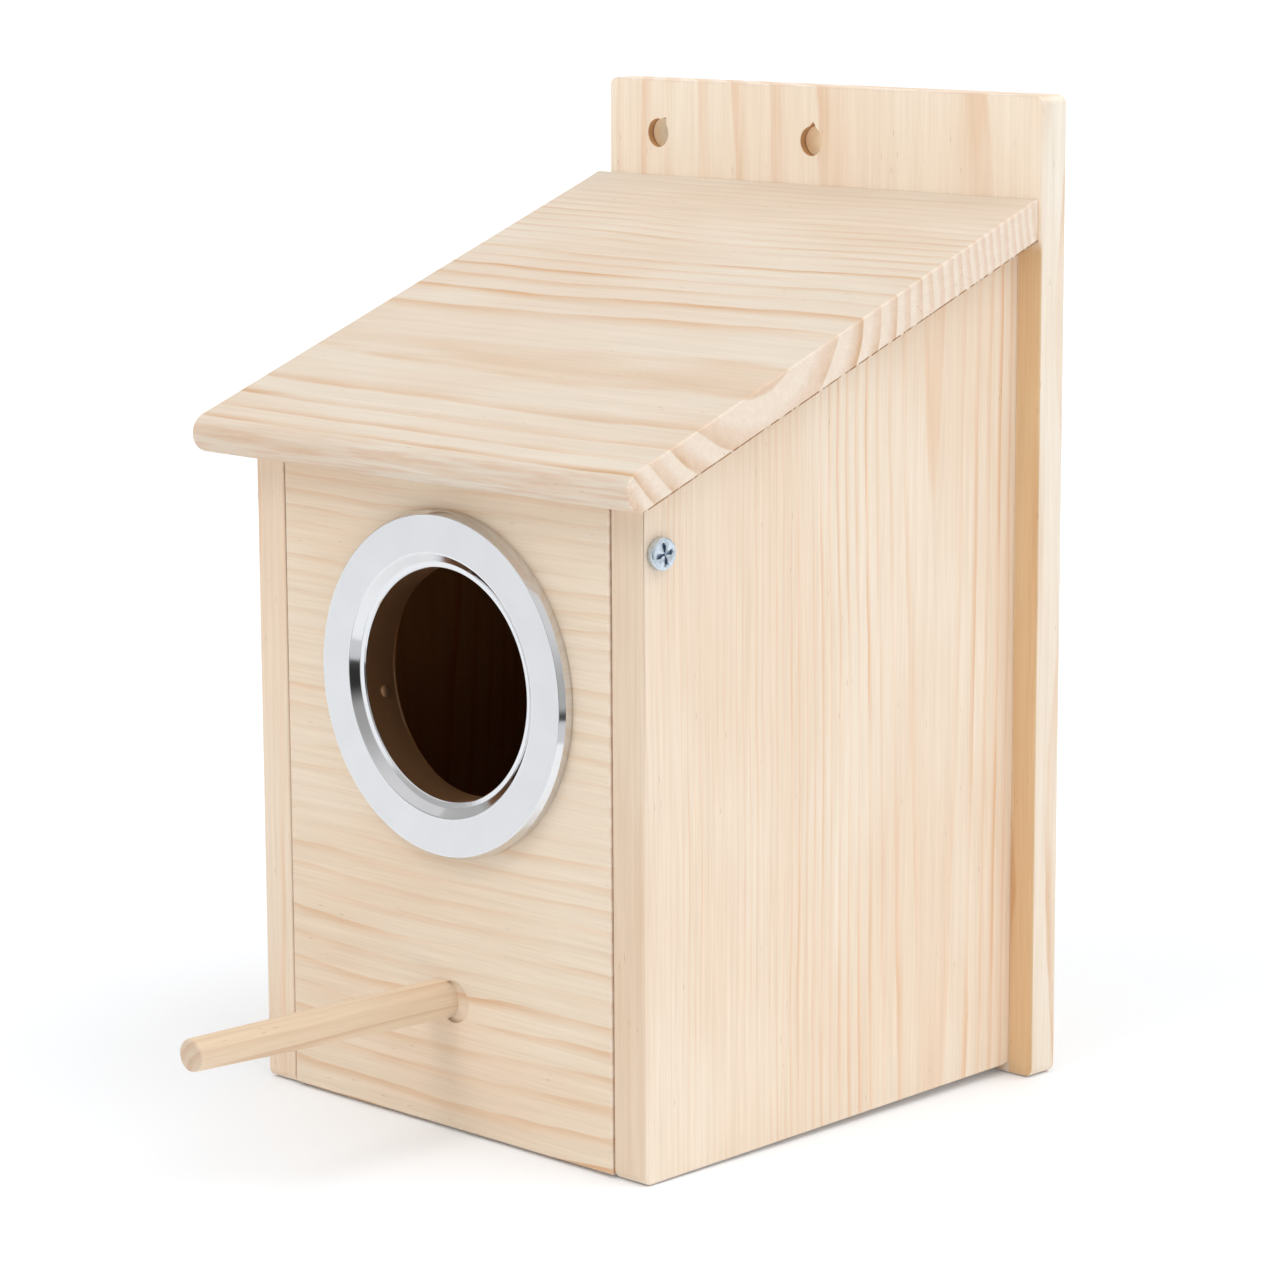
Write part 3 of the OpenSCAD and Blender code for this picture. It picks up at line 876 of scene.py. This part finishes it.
def screw_recess_shade(g):
    """Painted shade: darker metal painted into the screws' cross recesses."""
    x, y, z = g.split(g.place_mm())
    out = g.apart(x, mm(box_x))
    face = mm((right_high.x - left_low.x) / 2 + SCREW_GAP + SCREW_HEAD_H)
    away = g.length(g.math("SUBTRACT", y, mm(pivot.y)), g.math("SUBTRACT", z, mm(pivot.z)))
    inside = g.ramp(away, mm(SCREW_HEAD_R) - 1.0, mm(SCREW_HEAD_R) - 0.9, 1.0, 0.0)
    sunk = g.ramp(out, face - 0.5, face - 0.3, 1.0, 0.0)
    return g.product(inside, sunk), linear(140, 158, 176)


def recess_wing(seat, turn):
    """A cutter for one petal of a cross recess, from a table of (outwards, half width) in millimetres."""
    half = ((0.15, 0.3), (1.2, 0.42), (2.0, 0.66), (2.7, 0.6), (3.1, 0.25))
    outline = [(a * MM, b * MM) for a, b in half] + [(a * MM, -b * MM) for a, b in reversed(half)]
    c, s = math.cos(turn), math.sin(turn)
    vertices = []
    for h in (SCREW_HEAD_H + 0.3 * MM, SCREW_HEAD_H - 1.0 * MM):
        vertices += [seat @ Vector((a * c - b * s, a * s + b * c, h)) for a, b in outline]
    count = len(outline)
    faces = [tuple(range(count)), tuple(range(count, 2 * count))]
    faces += [(i, (i + 1) % count, count + (i + 1) % count, count + i) for i in range(count)]
    return make_piece("cutter", vertices, faces)


def entrance_ring():
    """Flanged ring turned from one piece, with a chamfered mouth, a lip and a collar."""
    face = door_low.y - ring_low.y
    lip = HOLE_R + LIP_W
    collar_r = RING_SEAT_R - 0.02 * MM
    profile = [
        (HOLE_R, -COLLAR_DEPTH), (collar_r, -COLLAR_DEPTH), (collar_r, 0), (flange_r, 0),
        (flange_r, face - RIM_BEVEL[1]), (flange_r - RIM_BEVEL[0], face), (FACE_INNER_R, face),
        (lip, face - LIP_DROP), (HOLE_R + 0.3 * MM, face - LIP_DROP - 0.25 * MM),
        (HOLE_R, face - LIP_DROP - 0.55 * MM)]
    radii = [r * MM for r in (0.1, 0.1, 0, 0.5, 0.3, 0.3, 0.9, 0.7, 0.15, 0.15)]
    seat = facing((ring_x, door_low.y, ring_z), (0, -1, 0))
    piece = lathe("entrance_ring_metal", fillet(profile, radii), seat, segments=192, closed=True)
    dress(piece, ring_metal(), "door", "entrance_ring")


def ring_pins():
    """Round-headed pins through the collar into the door."""
    head = [
        (0, 0), (PIN_HEAD_R * 0.5, 0.07 * MM), (PIN_HEAD_R * 0.85, 0.25 * MM), (PIN_HEAD_R, 0.5 * MM),
        (PIN_HEAD_R, PIN_STAND), (PIN_R, PIN_STAND), (PIN_R, 11 * MM), (0, 12 * MM)]
    made = []
    for side in (-1, 1):
        way = Vector((side * math.cos(PIN_ANGLE), 0, -math.sin(PIN_ANGLE)))
        spot = Vector((ring_x, door_low.y + PIN_DEPTH, ring_z)) + way * (HOLE_R - PIN_STAND)
        made.append(lathe("pin", head, facing(spot, way), segments=32))
    # The pins' brown matches the collar's painted reflection of the wood
    steel = metal("pin steel", (178, 142, 110), 0.55)
    dress(join("ring_pins_steel", made), steel, "door", "ring_pins")


def perch():
    """Tapered dowel with an eased end."""
    x = (perch_low.x + perch_high.x) / 2
    way = (0, -math.cos(PERCH_TILT), math.sin(PERCH_TILT))
    buried = 7 * MM
    profile = [(0, -buried), (PERCH_R - 0.1 * MM, -buried)]
    count = 24
    for k in range(count):
        share = k / count
        profile.append((PERCH_R + (PERCH_TIP_R - PERCH_R) * share, PERCH_L * share))
    for inset, short in ((0, 0.7), (0.15, 0.3), (0.45, 0.08), (0.9, 0)):
        profile.append((PERCH_TIP_R - inset * MM, PERCH_L - short * MM))
    profile.append((0, PERCH_L))
    piece = lathe("perch_dowel", profile, facing((x, door_low.y, PERCH_Z), way), segments=72)
    pith = (mm(PERCH_Z) - 9, mm(x) + 8)
    ends = (mm(perch_low.y), 0)
    material = pine("dowel", "Y", "Z", ends, pith=pith, lean=(-0.024, 0.0), ring=5.2, warp=0.35, late=0.5,
                    seed=PERCH_SEED, power=1.25, light=(236, 217, 192), dark=(202, 158, 118),
                    end=(216, 194, 172))
    dress(piece, material, "door", "perch")


# ---------------------------------------------------------------------------------- stage, light, camera
def stage():
    """A plain pale floor just under the object, which the light turns white."""
    size, gap = 60, 0.3 * MM
    bpy.ops.mesh.primitive_plane_add(size=size, location=(0, 0, -gap))
    floor = bpy.context.object
    floor.name = "studio_floor"
    g = Graph("studio floor")
    g.feed(g.shader.inputs["Base Color"], (0.936, 0.954, 0.974, 1.0))
    g.shader.inputs["Emission Color"].default_value = (0.045, 0.054, 0.066, 1.0)
    g.shader.inputs["Emission Strength"].default_value = 1.0
    g.shader.inputs["Roughness"].default_value = 0.9
    g.shader.inputs["Specular IOR Level"].default_value = 0.0
    floor.data.materials.append(g.material)


# The room's own light, and its soft lights as (azimuth, height, focus, strength). The angles are in degrees,
# the azimuth is 0 in front and positive to the right, and a greater focus is a smaller light.
ROOM_LIGHT = 0.52
SOFT_LIGHTS = ((-10, 52, 45, 4.9), (112, 60, 8, 1.85), (0, 88, 4, 0.35))


def world_math(tree, operation, first, second):
    """A math node in the world, fed by sockets or plain numbers."""
    made = tree.nodes.new("ShaderNodeMath")
    made.operation = operation
    for socket, value in zip(made.inputs, (first, second)):
        if isinstance(value, bpy.types.NodeSocket):
            tree.links.new(value, socket)
        else:
            socket.default_value = value
    return made.outputs[0]


def softbox(tree, direction, azimuth, height, focus, strength):
    """The glow of a big soft light, as seen along direction."""
    a, h = math.radians(azimuth), math.radians(height)
    aimed = tree.nodes.new("ShaderNodeVectorMath")
    aimed.operation = "DOT_PRODUCT"
    aimed.inputs[1].default_value = (math.sin(a) * math.cos(h), -math.cos(a) * math.cos(h), math.sin(h))
    tree.links.new(direction, aimed.inputs[0])
    front = world_math(tree, "MAXIMUM", aimed.outputs["Value"], 0.0)
    return world_math(tree, "MULTIPLY", world_math(tree, "POWER", front, focus), strength)


def light():
    """A white room with soft lights in it."""
    world = bpy.data.worlds.new("studio")
    world.use_nodes = True
    bpy.context.scene.world = world
    tree = world.node_tree
    background = tree.nodes["Background"]
    background.inputs["Color"].default_value = (1.0, 1.0, 1.0, 1.0)
    direction = tree.nodes.new("ShaderNodeTexCoord").outputs["Generated"]
    total = ROOM_LIGHT
    for soft_light in SOFT_LIGHTS:
        total = world_math(tree, "ADD", softbox(tree, direction, *soft_light), total)
    tree.links.new(total, background.inputs["Strength"])


# The card's distance from the ring and its heights, in metres, and the azimuths in degrees over which it
# stands. From CARD_LOW_FROM on it reaches down to the floor and has a skirt that comes nearer along it.
CARD_REACH = 0.42
CARD_SKIRT = 0.24
CARD_RAISED = 0.4
CARD_TOP = 1.5
CARD_STEPS = 40
CARD_FROM, CARD_SPAN, CARD_LOW_FROM = -75, 195, -30
CARD_GREY = (0.78, 0.78, 0.79)
CARD_SKIRT_GREY = (0.74, 0.75, 0.77)
CARD_SKIRT_TOP = (1.5, 2.0)
# Its dark and dim bands: the azimuths over which each fades in and out, the heights in millimetres over which
# it lightens from one tone to another, and those over which it turns into the card's grey
DARK_BAND = ((-20, 22), (44, 52), (100, 200, 0.03, 0.42), (230, 620))
DIM_BAND = ((58, 66), (86, 94), (24, 60, 0.05, 0.5), (120, 400))


def dark_card():
    """A curved card in front of the ring that only polished metal sees, for the dark accents in it."""
    vertices, faces = [], []
    for k in range(CARD_STEPS + 1):
        degrees = CARD_FROM + CARD_SPAN * k / CARD_STEPS
        turn = math.radians(degrees)
        reaches_floor = degrees > CARD_LOW_FROM
        low = MM if reaches_floor else CARD_RAISED
        for away, z in ((CARD_SKIRT, low), (CARD_REACH, low), (CARD_REACH, CARD_TOP)):
            vertices.append((ring_x + away * math.sin(turn), ring_low.y - away * math.cos(turn), z))
        if k < CARD_STEPS:
            faces.append((3 * k + 1, 3 * k + 4, 3 * k + 5, 3 * k + 2))
            if reaches_floor:
                faces.append((3 * k, 3 * k + 3, 3 * k + 4, 3 * k + 1))
    card = make_piece("dark_card", vertices, faces)
    g = Graph("dark card")
    x, y, z = g.split(g.place_mm())
    turn = g.math("ARCTAN2", g.math("SUBTRACT", x, mm(ring_x)), g.math("SUBTRACT", mm(ring_low.y), y))
    turn = g.math("DEGREES", turn)
    grey = g.vector(*CARD_GREY)
    tone = grey
    for fade_in, fade_out, lighten, to_grey in (DARK_BAND, DIM_BAND):
        band = g.ramp(z, *lighten)
        band = g.mix(g.ramp(z, *to_grey), g.vector(band, band, band), grey)
        share = g.product(g.ramp(turn, *fade_in), g.ramp(turn, *fade_out, 1.0, 0.0))
        tone = g.mix(share, tone, band)
    tone = g.mix(g.ramp(z, *CARD_SKIRT_TOP, 1.0, 0.0), tone, CARD_SKIRT_GREY)
    g.feed(g.shader.inputs["Base Color"], (0.0, 0.0, 0.0, 1.0))
    g.feed(g.shader.inputs["Emission Color"], tone)
    g.shader.inputs["Emission Strength"].default_value = 1.0
    g.shader.inputs["Specular IOR Level"].default_value = 0.0
    card.data.materials.append(g.material)
    card.visible_camera = False
    card.visible_diffuse = False
    card.visible_shadow = False
    card.visible_transmission = False


# The camera's place in metres, its angles, and its lens in millimetres
EYE_PLACE = (0.82958, -0.79636, 0.34233)
EYE_YAW = math.radians(44.62)
EYE_PITCH = math.radians(10.406)
EYE_ROLL = math.radians(-0.258)
EYE_LENS = 118.24


def camera():
    """The camera, to the right of the front and a little above, looking slightly down."""
    flat = math.cos(EYE_PITCH)
    back = Vector((math.sin(EYE_YAW) * flat, -math.cos(EYE_YAW) * flat, math.sin(EYE_PITCH)))
    right = (-back).cross(Vector((0, 0, 1))).normalized()
    up = right.cross(-back)
    turned_right = right * math.cos(EYE_ROLL) + up * math.sin(EYE_ROLL)
    turned_up = up * math.cos(EYE_ROLL) - right * math.sin(EYE_ROLL)
    eye = bpy.data.cameras.new("camera")
    eye.sensor_width = 36
    eye.lens = EYE_LENS
    eye.clip_start = 0.01
    eye.clip_end = 100
    holder = bpy.data.objects.new("camera", eye)
    axes = Matrix((turned_right, turned_up, back)).transposed().to_4x4()
    holder.matrix_world = Matrix.Translation(EYE_PLACE) @ axes
    bpy.context.scene.collection.objects.link(holder)
    bpy.context.scene.camera = holder


bpy.context.scene.view_settings.view_transform = "Standard"
back_board()
floor_panel()
side_panels()
roof()
front_door()
brads()
pivot_screws()
entrance_ring()
ring_pins()
perch()
stage()
light()
dark_card()
camera()
